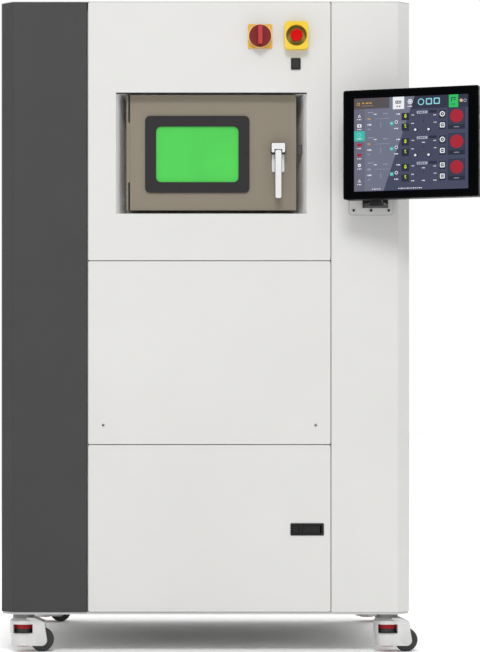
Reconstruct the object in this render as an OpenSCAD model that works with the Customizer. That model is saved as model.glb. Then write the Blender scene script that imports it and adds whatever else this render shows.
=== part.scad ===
// Floor-standing metal powder-bed laser printer: a sheet-metal cabinet on levelling
// casters, with a process chamber behind a thick hinged door, a lift below it, a laser
// and scanner, a gas filter, electrics and a touch screen on a swivel bracket.
// X runs to the right seen from the front, Y to the back, Z up. The cabinet modules
// work from the middle of its front face; place() moves them to the part's origin,
// which is the middle of the overall footprint at floor level.

/* [Cabinet] */
// Width of the cabinet
cab_w = 1100; // [1000:10:1300]
// Depth of the cabinet from front panels to rear panel
cab_d = 950; // [850:10:1200]
// Height of the cabinet's top above the floor
cab_h = 1750; // [1650:10:2100]
// Thickness of the cladding sheet
sheet = 2; // [1.5:0.5:3]
// Depth of the folded edges of the cladding panels
fold = 22; // [18:1:26]
// Gap between neighbouring cladding panels
seam = 2; // [1:0.5:4]
// Gap between the left column cover and the white panels
shadow_gap = 4.5; // [4:0.5:7]
// Leg of the chamfer on the two front corners
corner_chamfer = 33; // [20:1:40]
// Radius that blends the chamfer into its neighbours
corner_r = 10; // [6:1:14]
// Width of the left column cover
left_col_w = 231; // [180:1:260]
// Width of the right column cover
right_col_w = 212; // [180:1:260]
// Height of the seam between the middle and the upper front panel
upper_seam_z = 1053.5; // [1000:0.5:1120]
// Height of the seam between the lower door and the middle panel
lower_seam_z = 560; // [480:1:640]

/* [Frame] */
// Side of the square corner posts
post = 40; // [30:1:50]
// Wall of the frame tubes and channels
frame_wall = 3; // [2:0.5:4]
// Distance from the cladding's outer face to the posts
post_inset = 24; // [24:1:30]
// Thickness of the caster plates, the base plate and the shelf
deck = 3; // [3:0.5:4]
// Height of the shelf that carries the lift and the filter
shelf_z = 590; // [570:5:640]

/* [Casters] */
// Diameter of the caster wheels
wheel_d = 63; // [58:1:66]
// Width of the caster wheels
wheel_w = 34; // [28:1:36]
// Distance from the swivel axis to the wheel axle
wheel_offset = 50; // [50:0.5:54]
// Height of the swivel joint's face above the floor
caster_h = 104; // [102:1:116]
// Distance of the swivel axes from the cabinet's side, front and rear
caster_inset = 58; // [58:1:80]
// Side of the caster's top plate
caster_plate = 74; // [70:1:76]
// Diameter of the levelling pad
pad_d = 40; // [34:1:40]
// Diameter of the levelling screw
stem_d = 16; // [12:1:18]
// Diameter of the knurled levelling wheel
thumb_d = 50; // [42:1:50]
// Travel of the levelling pad
pad_travel = 18; // [14:1:20]

/* [Chamber] */
// Width of the recess in the upper front panel
recess_w = 512.5; // [490:0.5:530]
// Height of the recess
recess_h = 325; // [300:1:345]
// Middle of the recess, measured from the middle of the cabinet
recess_x = 16; // [0:1:30]
// Height of the lower edge of the recess
recess_z = 1180; // [1160:1:1220]
// Depth of the recess
recess_depth = 122; // [110:1:140]
// How far each side wall of the recess leans inwards
recess_lean = 26; // [10:1:30]
// Inner size of the process chamber, left to right
chamber_w = 530; // [480:5:560]
// Inner size of the process chamber, front to back
chamber_d = 460; // [420:5:520]
// Inner height of the process chamber
chamber_h = 300; // [280:5:320]
// Wall of the process chamber
chamber_wall = 8; // [6:1:12]
// Side of the square build platform
build_side = 220; // [180:5:240]
// Travel of the build platform
build_travel = 220; // [150:5:240]

/* [Chamber door] */
// Thickness of the chamber door
door_t = 90; // [80:1:100]
// How far the door's face sits behind the cladding
door_set_back = 27; // [20:1:35]
// Clearance under the door
door_floor_gap = 11; // [8:1:14]
// Clearance above the door
door_top_gap = 3; // [2:0.5:5]
// Wall of the hollow door
door_wall = 3; // [2:0.5:5]
// Width of the hinge strip at the door's left edge
hinge_strip = 7; // [5:0.5:9]
// Width of the slit between the hinge strip and the door
hinge_slit = 2; // [1.5:0.5:3]
// Width of the window bezel
bezel_w = 281; // [250:1:300]
// Height of the window bezel
bezel_h = 207; // [180:1:220]
// Visible width of the laser window
glass_w = 222; // [180:1:230]
// Visible height of the laser window
glass_h = 150; // [120:1:160]
// Corner radius of the bezel and the window
bezel_r = 13.5; // [6:0.5:20]
// Middle of the window, measured from the middle of the cabinet
window_x = -22; // [-40:1:0]
// Length of the door's lever
lever_l = 129; // [100:1:140]

/* [Screen] */
// Width of the screen housing
screen_w = 367.5; // [340:0.5:420]
// Height of the screen housing
screen_h = 287.5; // [260:0.5:330]
// Depth of the screen housing
screen_t = 42; // [35:1:60]
// Height of the screen's middle above the floor
screen_z = 1352.5; // [1300:0.5:1450]
// Angle that the screen is turned towards the operator
screen_yaw = 21; // [0:1:24]
// Distance from the housing's left edge to the swivel axis
screen_left = 68; // [60:1:110]
// Distance of the swivel axis in front of the cladding
pivot_out = 60; // [56:1:80]
// Distance of the swivel axis from the middle of the cabinet
pivot_x = 455; // [445:1:470]

/* [Fits] */
// Radial clearance of a shaft in its bore
run = 0.05; // [0.02:0.01:0.1]
// Clearance between parts that move past each other
clear = 0.4; // [0.3:0.1:1]

/* [Hidden] */
$fn = 48;
e = 0.3;                                // face gap between pieces that only meet
half_w = cab_w / 2;
left_x = -half_w + left_col_w + shadow_gap;   // left edge of the white panels
right_x = half_w - right_col_w - seam;        // right edge of the white panels
panel_top = cab_h - sheet - e;                // upper edge of the side and front skins
post_x = half_w - post_inset - post / 2;
post_y0 = post_inset + post / 2;
post_y1 = cab_d - post_inset - post / 2;
base_z = caster_h + deck;                     // underside of the base plate
floor_z = base_z + deck;                      // top of the base plate
skin_z = floor_z;                             // lower edge of the cladding
frame_top = cab_h - sheet - e - 2;
swivel_x = half_w - caster_inset;
swivel_y = [caster_inset, cab_d - caster_inset];
shelf_top = shelf_z + deck;

// recess and chamber
rec_l = recess_x - recess_w / 2;
rec_r = recess_x + recess_w / 2;
rec_top = recess_z + recess_h;
flange_y = recess_depth + e;
cham_y0 = flange_y + chamber_wall;            // inside of the chamber's front wall
cham_z0 = recess_z + 24;                      // working plane, the chamber's floor
cham_z1 = cham_z0 + chamber_h;
floor_t = 30;                                 // chamber floor plate
rail_z = cham_z0 - floor_t - post;            // underside of the chamber's rails
bed_x = recess_x;
bed_y = cham_y0 + 205;                        // middle of the build platform

// door
slit_x = rec_l + recess_lean + 2;             // left edge of the hinge strip
door_x0 = slit_x + hinge_strip + hinge_slit;
door_x1 = rec_r - recess_lean - 1.5;
door_z0 = recess_z + door_floor_gap;
door_z1 = rec_top - door_top_gap;
door_y0 = door_set_back;
door_y1 = door_y0 + door_t;
door_w = door_x1 - door_x0;
door_h = door_z1 - door_z0;
door_axis = [slit_x + 3, door_y0 + 14];
window_z = (door_z0 + door_z1) / 2 - 5;
bezel_t = 5;
pane_t = 8;
pane_lip = 8;
lever_x = door_x1 - 49;
lever_z = door_z1 - 145;
cam_y = door_y0 + 30;
cam_l = 62;

// screen
tilt_out = 20;                                // tilt axis in front of the swivel axis
back_out = 15;                                // housing's back in front of the tilt axis
lug_t = 10;
bracket_z0 = screen_z - 158;
bracket_h = 200;

// frame, panels and rear
mullion_x = [left_x - shadow_gap - 3 + post / 2, right_x + 1 - post / 2];
door_hinge_axis = [left_x + 5, 5.5];          // pivot pins of the lower door
hinge_arm_z = [skin_z + 8, lower_seam_z - seam - 18];
pivot_d = 5;
relief_d = 4.4;                               // corner reliefs of the front panels
vent_slot = [110, 7];
vent_pitch = 18;
lock_d = 7;                                   // quarter-turn locks
lock_x = [left_x + 40, right_x - 40];
lock_z = lower_seam_z + 52;
fan_pos = [-290, 1560];
fan_hole = 160;
fan_side = 172;
fan_t = 50;
gas_port = [300, 1560];
gas_port_r = 16;
gland = [-360, 260];
gland_r = 16;
rear_y = cab_d - fold;

// process chamber and lift
lens_d = 110;
pipe_d = 50;
gas_z = cham_z0 + 60;                         // gas ports in the chamber's right wall
gas_y = [bed_y, bed_y + 145];
filter_pos = [bed_x + 300, 560];
filter_d = 230;
rail_y = cham_y0 + chamber_d - 40;            // recoater's rail
rail_h = cham_z0 + 110;
hopper_x = [bed_x + 175, bed_x + 255];
cyl_wall = 12;
cyl_h = 290;
actuator_d = 90;
actuator_top = shelf_top + build_travel + 40;
rod_d = 30;
plate_x = -post_x + post / 2;                 // left face of the control plate

// switches
switch_x = 146.5;
switch_z = 1655.5;
switch_side = 65;
switch_shaft = 8;
knob_d = 58;
estop_x = 243.5;
estop_w = 64;
estop_h = 75;
estop_d = 33;
estop_shaft = 16;
estop_travel = 5;
port_x = 242.5;
port_z = 1582;

// chamber door's hinge and handle
hinge_z = [door_z0 + 24, door_z1 - 44];
hinge_pin_d = 6;
knuckle_h = 20;
bridge = [door_z0 + 75, door_z1 - 75];        // where the hinge strip joins the door
spindle_d = 16;
cam_slot = 54;
base_h = 76;
hub = [36, 25];
lever_w = 16;
lever_drop = 6.5;                             // top of the lever below the spindle

// latch of the lower door
latch_x = 273;
latch_z = 332.5;
latch_w = 90;
latch_h = 33;
paddle_x = [-13, 34];
key_x = [-39.5, -22.5];
paddle_axis = [33, 8];
paddle_pin_d = 4;

// screen bracket and housing
wall_plate_w = 117;
wall_plate_h = 236;
wall_plate_z0 = bracket_z0 - 18;
wall_plate_x = pivot_x - 10.5;
bracket_w = 68;
barrel_d = 34;
lug_r = 22;
ear_d = 20;
ear_t = 8;
ear_x = 14;
pivot_pin_d = 16;
tilt_pin_d = 10;
screen_wall = 3;
screen_r = 6;

// casters
race_r = 20;
neck_r = 29;                                  // swivel housing
tower_r = 34;                                 // body round the levelling screw
collar_r = 37;                                // its thicker upper part
lobe_r = 15;                                  // round the wheel's axle
boss_t = 1.5;
fork_w = 62;
fork_gap = wheel_w + 3;
body_bottom = 17;
shoulder_z = [84, 91];                        // cone from the collar to the neck
thumb_z = [50, 74.6];                         // window of the levelling wheel
window_w = thumb_d + 2;
axle_d = 12;
pad_h = 5.5;
pad_z = 14;

// footprint of the whole object, for its origin
screen_reach_x = pivot_x + (screen_w - screen_left) * cos(screen_yaw)
    - (tilt_out + back_out) * sin(screen_yaw);
screen_reach_y = -pivot_out - (screen_w - screen_left) * sin(screen_yaw)
    - (tilt_out + back_out + screen_t) * cos(screen_yaw);
rear_out = 10;                                // collars behind the rear panel
origin_x = (screen_reach_x - half_w) / 2;
origin_y = (screen_reach_y + cab_d + rear_out) / 2;

white = [0.89, 0.89, 0.87];
dark = [0.32, 0.32, 0.33];
taupe = [0.55, 0.52, 0.46];
steel = [0.72, 0.73, 0.75];
black = [0.08, 0.08, 0.09];
cast = [0.78, 0.78, 0.77];
signal_red = [0.72, 0.11, 0.13];
yellow = [0.98, 0.8, 0.1];

// Moves a cabinet module from the middle of the front face to the part's origin.
module place() { translate([-origin_x, -origin_y, 0]) children(); }

// A box given by its two corners.
module span(a, b) { translate(a) cube(b - a); }

// A cylinder along Y that starts at y and runs towards the back.
module along_y(d, h) { rotate([-90, 0, 0]) cylinder(d = d, h = h); }

// A plate in the XZ plane with rounded corners, its middle at the origin.
module rounded_plate(w, h, t, r) {
    rotate([90, 0, 0]) translate([0, 0, -t]) linear_extrude(t) {
        square([w - 2 * r, h], center = true);
        square([w, h - 2 * r], center = true);
        for (sx = [-1, 1], sz = [-1, 1])
            translate([sx * (w / 2 - r), sz * (h / 2 - r)]) circle(r);
    }
}

// Rounds of the chamfered front corner: radius q about the centres of the outer rounds.
function corner_arc(q, w = half_w, c = corner_chamfer, r = corner_r) = concat(
    [for (a = [-90:15:-45]) [w - c - r * tan(22.5) + q * cos(a), r + q * sin(a)]],
    [for (a = [-45:15:0]) [w - r + q * cos(a), c + r * tan(22.5) + q * sin(a)]]
);
function reversed(p) = [for (i = [len(p) - 1:-1:0]) p[i]];
function mirrored(p) = [for (i = [len(p) - 1:-1:0]) [-p[i][0], p[i][1]]];

// Outline of the cabinet in plan, taken in by q.
function plan_outline(q) = concat(
    corner_arc(corner_r - q),
    [[half_w - q, cab_d - q], [-half_w + q, cab_d - q]],
    mirrored(corner_arc(corner_r - q))
);

// Column cover at a front corner, for the right side: sheet from x0 round to depth d.
module column_cover(x0, d) {
    outer = concat([[x0, 0]], corner_arc(corner_r), [[half_w, d]]);
    inner = concat([[x0, sheet]], corner_arc(corner_r - sheet), [[half_w - sheet, d]]);
    translate([0, 0, skin_z]) linear_extrude(panel_top - skin_z)
        polygon(concat(outer, reversed(inner)));
    span([x0, 0, skin_z], [x0 + sheet, fold, panel_top]);
    span([half_w - fold, d - sheet, skin_z], [half_w, d, panel_top]);
}

// A front panel folded back along its four edges, with a relief hole at each corner.
module pan(x0, x1, z0, z1) {
    difference() {
        span([x0, 0, z0], [x1, fold, z1]);
        span([x0 + sheet, sheet, z0 + sheet], [x1 - sheet, fold + 1, z1 - sheet]);
        for (x = [x0, x1], z = [z0, z1]) translate([x, -1, z]) along_y(relief_d, fold + 2);
    }
}

// A side panel folded inwards, for the right side.
module side_pan(y0, y1) {
    difference() {
        span([half_w - fold, y0, skin_z], [half_w, y1, panel_top]);
        span([half_w - fold - 1, y0 + sheet, skin_z + sheet],
            [half_w - sheet, y1 - sheet, panel_top - sheet]);
        vents();
    }
}

// Two fields of slots in a side panel: near the floor and near the top.
module vents() {
    for (z0 = [skin_z + 120, panel_top - 260], row = [0:7], col = [0:1])
        translate([half_w - sheet - 1, cab_d / 2 + (col - 0.5) * 150 - vent_slot[0] / 2 + 40,
            z0 + row * vent_pitch]) cube([sheet + 2, vent_slot[0], vent_slot[1]]);
}

// Square tube or open channel of the frame.
module tube_z(x, y, z0, z1) {
    translate([x, y, z0]) difference() {
        translate([-post / 2, -post / 2, 0]) cube([post, post, z1 - z0]);
        translate([-post / 2 + frame_wall, -post / 2 + frame_wall, -1])
            cube([post - 2 * frame_wall, post - 2 * frame_wall, z1 - z0 + 2]);
    }
}

// Channel along X between the posts, open towards the inside of the cabinet.
module channel_x(x0, x1, y, z, inside = 1) {
    translate([0, y, z]) difference() {
        span([x0, -post / 2, 0], [x1, post / 2, post]);
        translate([0, inside * frame_wall, 0])
            span([x0 - 1, -post / 2, frame_wall], [x1 + 1, post / 2, post - frame_wall]);
    }
}

// Channel along Y between the posts, open towards the inside of the cabinet.
module channel_y(x, y0, y1, z, inside = 1) {
    translate([x, 0, z]) difference() {
        span([-post / 2, y0, 0], [post / 2, y1, post]);
        translate([inside * frame_wall, 0, 0])
            span([-post / 2, y0 - 1, frame_wall], [post / 2, y1 + 1, post - frame_wall]);
    }
}

// Welded frame: base plate with skirt, posts, mullions, rings, shelf and chamber rails.
module frame() {
    rings = [floor_z, shelf_z - post, rail_z, frame_top - post];
    skirt_in = [3, 6];
    place() color(cast) union() {
        translate([0, 0, base_z]) linear_extrude(deck) polygon(plan_outline(skirt_in[0]));
        translate([0, 0, caster_h]) linear_extrude(deck) difference() {
            polygon(plan_outline(skirt_in[0]));
            polygon(plan_outline(skirt_in[1]));
        }
        for (sx = [-1, 1], y = [post_y0, post_y1]) tube_z(sx * post_x, y, floor_z, frame_top);
        for (x = mullion_x) tube_z(x, post_y0, floor_z, frame_top);
        for (z = rings, s = [-1, 1])
            channel_y(s * post_x, post_y0 + post / 2, post_y1 - post / 2, z, -s);
        for (z = rings)
            channel_x(-post_x + post / 2, post_x - post / 2, post_y1, z, -1);
        for (z = [rings[0], rings[3]], part = [
            [-post_x + post / 2, mullion_x[0] - post / 2],
            [mullion_x[0] + post / 2, mullion_x[1] - post / 2],
            [mullion_x[1] + post / 2, post_x - post / 2]])
            channel_x(part[0], part[1], post_y0, z, 1);
        shelf();
        chamber_rails(rings[2]);
        for (z = hinge_arm_z) door_pivot(z);
    }
}

// Shelf across the frame, open in front of the lift for its cables.
module shelf() {
    difference() {
        span([-post_x - post / 2, post_y0 - post / 2, shelf_z],
            [post_x + post / 2, post_y1 + post / 2, shelf_top]);
        for (sx = [-1, 1], y = [post_y0, post_y1])
            translate([sx * post_x - post / 2 + 1, y - post / 2 + 1, shelf_z - 1])
                cube([post - 2, post - 2, deck + 2]);
        for (x = mullion_x) translate([x - post / 2 + 1, post_y0 - post / 2 + 1, shelf_z - 1])
            cube([post - 2, post - 2, deck + 2]);
        span([-150, 640, shelf_z - 1], [150, 760, shelf_top + 1]);
    }
}

// Two rails under the chamber that run from side to side.
module chamber_rails(z) {
    for (y = [cham_y0 + 40, cham_y0 + chamber_d - 40])
        difference() {
            span([-post_x + post / 2 - 1, y - 20, z], [post_x - post / 2 + 1, y + 20, z + post]);
            span([-post_x, y - 20 + frame_wall, z + frame_wall], [post_x, y + 21, z + post - frame_wall]);
        }
}

// Arm from the mullion to a pivot pin of the lower door, inside the door's folds.
module door_pivot(z) {
    up = z > lower_seam_z / 2 ? 1 : -1;
    translate([door_hinge_axis[0], door_hinge_axis[1], z]) {
        linear_extrude(10) {
            circle(d = pivot_d);
            translate([0, -pivot_d / 2]) square([8, post_inset - door_hinge_axis[1] + pivot_d / 2 + 1]);
        }
        translate([0, 0, up > 0 ? 10 : -10]) cylinder(d = pivot_d, h = 10);
    }
}

module caster_plates() {
    place() color(steel) for (sx = [-1, 1], y = swivel_y) translate([sx * swivel_x, y, caster_h])
        difference() {
            union() {
                translate([-caster_plate / 2, -caster_plate / 2, 0])
                    cube([caster_plate, caster_plate, deck]);
                translate([0, 0, -9]) cylinder(r = race_r, h = 10);
            }
            for (a = [-1, 1], b = [-1, 1])
                translate([a * (caster_plate / 2 - 8), b * (caster_plate / 2 - 8), -1])
                    cylinder(d = 8.5, h = deck + 2);
        }
}

module left_column_cover() {
    place() color(dark) mirror([1, 0, 0]) column_cover(half_w - left_col_w, 90);
}

module right_column_cover() {
    place() color(white) column_cover(half_w - right_col_w, 90);
}

// Screws through the panels' folds would be hidden, so the panels are plain pans.
module upper_front_panel() {
    place() color(white) difference() {
        pan(left_x, right_x, upper_seam_z + seam / 2, panel_top);
        span([rec_l, -1, recess_z], [rec_r, sheet + 1, rec_top]);
        for (x = [switch_x, estop_x]) translate([x, -1, switch_z]) along_y(30, sheet + 2);
        translate([port_x, -1, port_z]) along_y(23.6, sheet + 2);
    }
}

// Sheet funnel from the cladding back to the chamber's front flange.
module recess_liner() {
    y0 = sheet + e;
    walls = [[rec_l, y0], [rec_r, y0], [rec_r - recess_lean, recess_depth],
        [rec_l + recess_lean, recess_depth]];
    outer = [[rec_l - sheet, y0], [rec_r + sheet, y0],
        [rec_r - recess_lean + sheet, recess_depth], [rec_l + recess_lean - sheet, recess_depth]];
    place() color(white) difference() {
        union() {
            translate([0, 0, recess_z - sheet]) linear_extrude(recess_h + 2 * sheet) polygon(outer);
            span([rec_l - 12, y0, recess_z - 12], [rec_r + 12, y0 + sheet, rec_top + 12]);
        }
        translate([0, 0, recess_z]) linear_extrude(recess_h)
            polygon([walls[0] - [0, 1], walls[1] - [0, 1], walls[2] + [0, 1], walls[3] + [0, 1]]);
    }
    // keeper that the door's cam turns behind, screwed to the slanted wall
    keeper_y = cam_y - 4 - clear;
    place() color(steel) translate([0, 0, lever_z - 12]) linear_extrude(24) polygon([
        [door_x1 + 5.5, keeper_y - 5], [door_x1 + 5.5, keeper_y],
        [rec_r - recess_lean * keeper_y / recess_depth - e, keeper_y],
        [rec_r - recess_lean * (keeper_y - 5) / recess_depth - e, keeper_y - 5]]);
}

module middle_front_panel() {
    place() color(white) difference() {
        pan(left_x, right_x, lower_seam_z + seam / 2, upper_seam_z - seam / 2);
        for (x = lock_x) translate([x, -1, lock_z]) along_y(lock_d + 1, sheet + 2);
    }
}

// Quarter-turn locks of the lift-off panel: a slotted head, a washer behind the panel, and
// a shank with a cross pin that ends on the mullion.
module panel_locks() {
    place() color(steel) for (x = lock_x) translate([x, 0, lock_z]) difference() {
        union() {
            translate([0, e, 0]) along_y(lock_d, post_inset - e);
            translate([0, sheet + e, 0]) along_y(14, 2);
            translate([-9, 16, -1.5]) cube([18, 3, 3]);
        }
        translate([-lock_d, 0, -0.6]) cube([2 * lock_d, 1.5, 1.2]);
    }
}

module left_side_panel() {
    place() color(white) mirror([1, 0, 0]) side_pan(90 + seam, cab_d - fold - seam);
}

module right_side_panel() {
    place() color(white) side_pan(90 + seam, cab_d - fold - seam);
}

module rear_panel() {
    place() color(white) difference() {
        union() {
            difference() {
                span([-half_w, rear_y, skin_z], [half_w, cab_d, panel_top]);
                span([-half_w + sheet, rear_y - 1, skin_z + sheet],
                    [half_w - sheet, cab_d - sheet, panel_top - sheet]);
            }
            for (p = [[gas_port, gas_port_r], [gland, gland_r]])
                translate([p[0][0], cab_d - sheet - 8, p[0][1]]) along_y(2 * p[1] + 16, 8 + sheet + 10);
        }
        translate([fan_pos[0], cab_d - 10, fan_pos[1]]) along_y(fan_hole, 20);
        for (p = [[gas_port, gas_port_r], [gland, gland_r]])
            translate([p[0][0], cab_d - 30, p[0][1]]) along_y(2 * p[1], 60);
        for (row = [0:9], col = [0:3])
            translate([(col - 1.5) * 150 + 60 - 60, cab_d - sheet - 1, 420 + row * vent_pitch])
                cube([110, sheet + 2, vent_slot[1]]);
    }
}

// Lid of the cabinet with a lip that rests on the frame's top ring.
module top_cover() {
    lip = [post_inset + 6, post_inset + post - 4];
    place() color(white) {
        translate([0, 0, cab_h - sheet]) linear_extrude(sheet) polygon(plan_outline(0));
        difference() {
            span([-half_w + lip[0], lip[0], frame_top + e], [half_w - lip[0], cab_d - lip[0], cab_h - 1]);
            span([-half_w + lip[1], lip[1], frame_top], [half_w - lip[1], cab_d - lip[1], cab_h - sheet]);
        }
    }
}

module chamber_body() {
    x0 = bed_x - chamber_w / 2;
    x1 = bed_x + chamber_w / 2;
    open_x = [door_x0 + 26, door_x1 - 24];
    open_z = [door_z0 + 26, door_z1 - 24];
    place() color(steel) difference() {
        union() {
            span([x0 - chamber_wall, flange_y, cham_z0 - floor_t],
                [x1 + chamber_wall, cham_y0 + chamber_d + chamber_wall, cham_z1 + chamber_wall]);
            span([rec_l - 25, flange_y, recess_z - 26],
                [rec_r + 25, flange_y + chamber_wall, rec_top + 26]);
        }
        span([x0, cham_y0, cham_z0], [x1, cham_y0 + chamber_d, cham_z1]);
        span([open_x[0], flange_y - 1, open_z[0]], [open_x[1], cham_y0 + 1, open_z[1]]);
        span([bed_x - build_side / 2, bed_y - build_side / 2, cham_z0 - floor_t - 1],
            [bed_x + build_side / 2, bed_y + build_side / 2, cham_z0 + 1]);
        translate([bed_x, bed_y, cham_z1 - 1]) cylinder(d = lens_d + 2 * clear, h = chamber_wall + 2);
        span([hopper_x[0] + 12, bed_y - 60, cham_z1 - 1], [hopper_x[1] - 12, bed_y + 60, cham_z1 + 20]);
        for (y = gas_y) translate([x1 - 1, y, gas_z]) rotate([0, 90, 0])
            cylinder(d = pipe_d, h = chamber_wall + 3);
    }
    place() color(steel) span([x0 + 4, rail_y - 10, rail_h - 10], [x1 - 4, rail_y + 10, rail_h + 10]);
    for (z = hinge_z) place() color(steel) translate([door_axis[0], door_axis[1], z]) {
        cylinder(d = 10, h = knuckle_h);
        translate([-4, 0, 0]) cube([8.5, flange_y + 1 - door_axis[1], knuckle_h]);
        translate([0, 0, -12]) cylinder(d = hinge_pin_d, h = knuckle_h + 24);
    }
    place() color(steel) for (x = [x0 + 40, bed_x, x1 - 40])
        span([x - 12, rail_y + 10, rail_h - 8], [x + 12, cham_y0 + chamber_d, rail_h + 8]);
}

// Gasket on the chamber's flange, pressed by the back of the door.
module door_seal() {
    place() color(black) difference() {
        span([door_x0 + 8, door_y1 + clear, door_z0 + 8],
            [door_x1 - 6, flange_y, door_z1 - 6]);
        span([door_x0 + 20, door_y1, door_z0 + 20],
            [door_x1 - 18, flange_y + 1, door_z1 - 18]);
    }
}

// Square build cylinder under the chamber floor, with its four guide columns.
module build_cylinder() {
    z1 = cham_z0 - floor_t;
    s = build_side / 2;
    place() color(steel) translate([bed_x, bed_y, 0]) {
        difference() {
            union() {
                span([-s - cyl_wall, -s - cyl_wall, z1 - cyl_h], [s + cyl_wall, s + cyl_wall, z1]);
                span([-s - 30, -s - 30, z1 - cyl_h], [s + 30, s + 30, z1 - cyl_h + 14]);
            }
            span([-s, -s, z1 - cyl_h - 1], [s, s, z1 + 1]);
        }
        for (sx = [-1, 1], sy = [-1, 1]) translate([sx * (s + 12), sy * (s + 12), shelf_top])
            cylinder(d = 22, h = z1 - cyl_h - shelf_top);
    }
}

// Electric cylinder that carries the build platform.
module lift_actuator() {
    place() color(black) translate([bed_x, bed_y, shelf_top]) difference() {
        union() {
            translate([-70, -70, 0]) cube([140, 140, 16]);
            cylinder(d = actuator_d, h = actuator_top - shelf_top);
            translate([-actuator_d / 2 - 60, -35, 0]) cube([90, 70, 160]);
        }
        translate([0, 0, 20]) cylinder(r = rod_d / 2 + run, h = actuator_top);
    }
}

module build_platform() {
    z1 = cham_z0 - 1;
    s = build_side / 2 - clear;
    place() color(steel) translate([bed_x, bed_y, 0]) {
        span([-s, -s, z1 - 24], [s, s, z1]);
        translate([0, 0, actuator_top - 20]) cylinder(d = rod_d, h = z1 - 24 - actuator_top + 21);
        translate([0, 0, z1 - 40]) cylinder(d = 80, h = 17);
    }
}

// Powder hopper on the chamber's roof, narrowing towards its slot.
module powder_hopper() {
    z0 = cham_z1 + chamber_wall;
    x0 = hopper_x[0];
    x1 = hopper_x[1];
    place() color(steel) {
        difference() {
            span([x0, bed_y - 110, z0 + 40], [x1, bed_y + 110, z0 + 170]);
            span([x0 + 3, bed_y - 107, z0 + 39], [x1 - 3, bed_y + 107, z0 + 165]);
        }
        rotate([90, 0, 90]) translate([0, 0, x0]) linear_extrude(x1 - x0) difference() {
            polygon([[bed_y - 110, z0 + 41], [bed_y - 70, z0], [bed_y + 70, z0], [bed_y + 110, z0 + 41]]);
            polygon([[bed_y - 107, z0 + 42], [bed_y - 60, z0 - 1], [bed_y + 60, z0 - 1], [bed_y + 107, z0 + 42]]);
        }
        for (x = [x0, x1 - 3]) rotate([90, 0, 90]) translate([0, 0, x]) linear_extrude(3)
            polygon([[bed_y - 110, z0 + 41], [bed_y - 70, z0], [bed_y + 70, z0], [bed_y + 110, z0 + 41]]);
        translate([(x0 + x1) / 2, bed_y, z0 + 169]) cylinder(d = 60, h = 14);
    }
}

// Galvo scanner with its lens above the middle of the build platform.
module scanner_head() {
    z0 = cham_z1 + chamber_wall;
    place() color(dark) translate([bed_x, bed_y, z0]) {
        translate([-105, -95, 36]) cube([210, 190, 110]);
        translate([0, 0, -chamber_wall + 2]) cylinder(d = lens_d, h = 44);
        difference() {
            cylinder(d = lens_d + 40, h = 12);
            translate([0, 0, -1]) cylinder(d = lens_d - 10, h = 14);
        }
        translate([-20, 94, 70]) cube([40, 60, 44]);
    }
}

module laser_source() {
    place() color(dark) translate([-230, 360, floor_z]) {
        cube([430, 450, 130]);
        for (x = [20, 330]) translate([x, -18, 30]) cube([80, 19, 12]);
        translate([150, 450, 40]) cube([130, 22, 60]);
    }
}

// Round filter canister on the shelf: one pipe leaves its side, one its top, and both
// end in the right wall of the chamber.
module filter_unit() {
    pipe_x = bed_x + chamber_w / 2 + chamber_wall + 70;
    elbow_z = shelf_top + 200;
    can_h = 360;
    place() color(steel) {
        translate([filter_pos[0], filter_pos[1], shelf_top]) {
            cylinder(d = filter_d, h = can_h);
            translate([0, 0, can_h - 60]) cylinder(d = filter_d + 24, h = 16);
        }
        for (y = gas_y) {
            z0 = y == gas_y[0] ? elbow_z : shelf_top + can_h - 1;
            translate([pipe_x, y, z0]) cylinder(d = pipe_d, h = gas_z - z0);
            translate([pipe_x, y, gas_z]) sphere(d = pipe_d);
            translate([pipe_x, y, gas_z]) rotate([0, -90, 0]) cylinder(d = pipe_d - 1, h = 74);
        }
        translate([pipe_x, gas_y[0], elbow_z]) {
            sphere(d = pipe_d);
            rotate([-90, 0, 0]) cylinder(d = pipe_d, h = filter_pos[1] - gas_y[0] - 60);
        }
    }
}

// Mounting plate on the left posts with its drives, supplies and computer. Each module
// is [y, z, width, height, depth].
module control_plate() {
    modules = [
        [80, 1440, 200, 240, 70], [320, 1430, 300, 260, 95], [660, 1450, 200, 220, 60],
        [90, 1200, 110, 200, 90], [230, 1200, 110, 200, 90], [370, 1200, 110, 200, 90],
        [520, 1210, 340, 180, 45]];
    place() color(steel) span([plate_x, post_y0 - 14, rail_z + post + 6],
        [plate_x + 4, post_y1 + 14, frame_top - post - 6]);
    place() color(dark) for (m = modules)
        span([plate_x + 3, m[0], m[1]], [plate_x + 4 + m[4], m[0] + m[2], m[1] + m[3]]);
}

module fan_frame() {
    y1 = cab_d - sheet;
    place() color(black) translate([fan_pos[0], y1 - fan_t, fan_pos[1]]) {
        difference() {
            translate([-fan_side / 2, 0, -fan_side / 2]) cube([fan_side, fan_t, fan_side]);
            translate([0, -1, 0]) along_y(fan_hole, fan_t + 2);
        }
        translate([0, 4, 0]) along_y(50, 14);
        translate([0, 17, 0]) along_y(7.9, 26);
        for (a = [45:90:315]) rotate([0, a, 0]) translate([20, 5, -5]) cube([fan_hole / 2 - 18, 8, 10]);
    }
}

// Fan rotor on the fan's own shaft.
module fan_impeller() {
    place() color(black) translate([fan_pos[0], cab_d - sheet - fan_t, fan_pos[1]]) difference() {
        union() {
            translate([0, 19, 0]) along_y(62, 26);
            for (a = [0:360 / 7:359]) rotate([0, a, 0]) translate([28, 32, 0]) rotate([38, 0, 0])
                translate([0, -1.2, -16]) cube([44, 2.4, 32]);
        }
        translate([0, 18, 0]) along_y(8, 30);
    }
}

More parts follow.
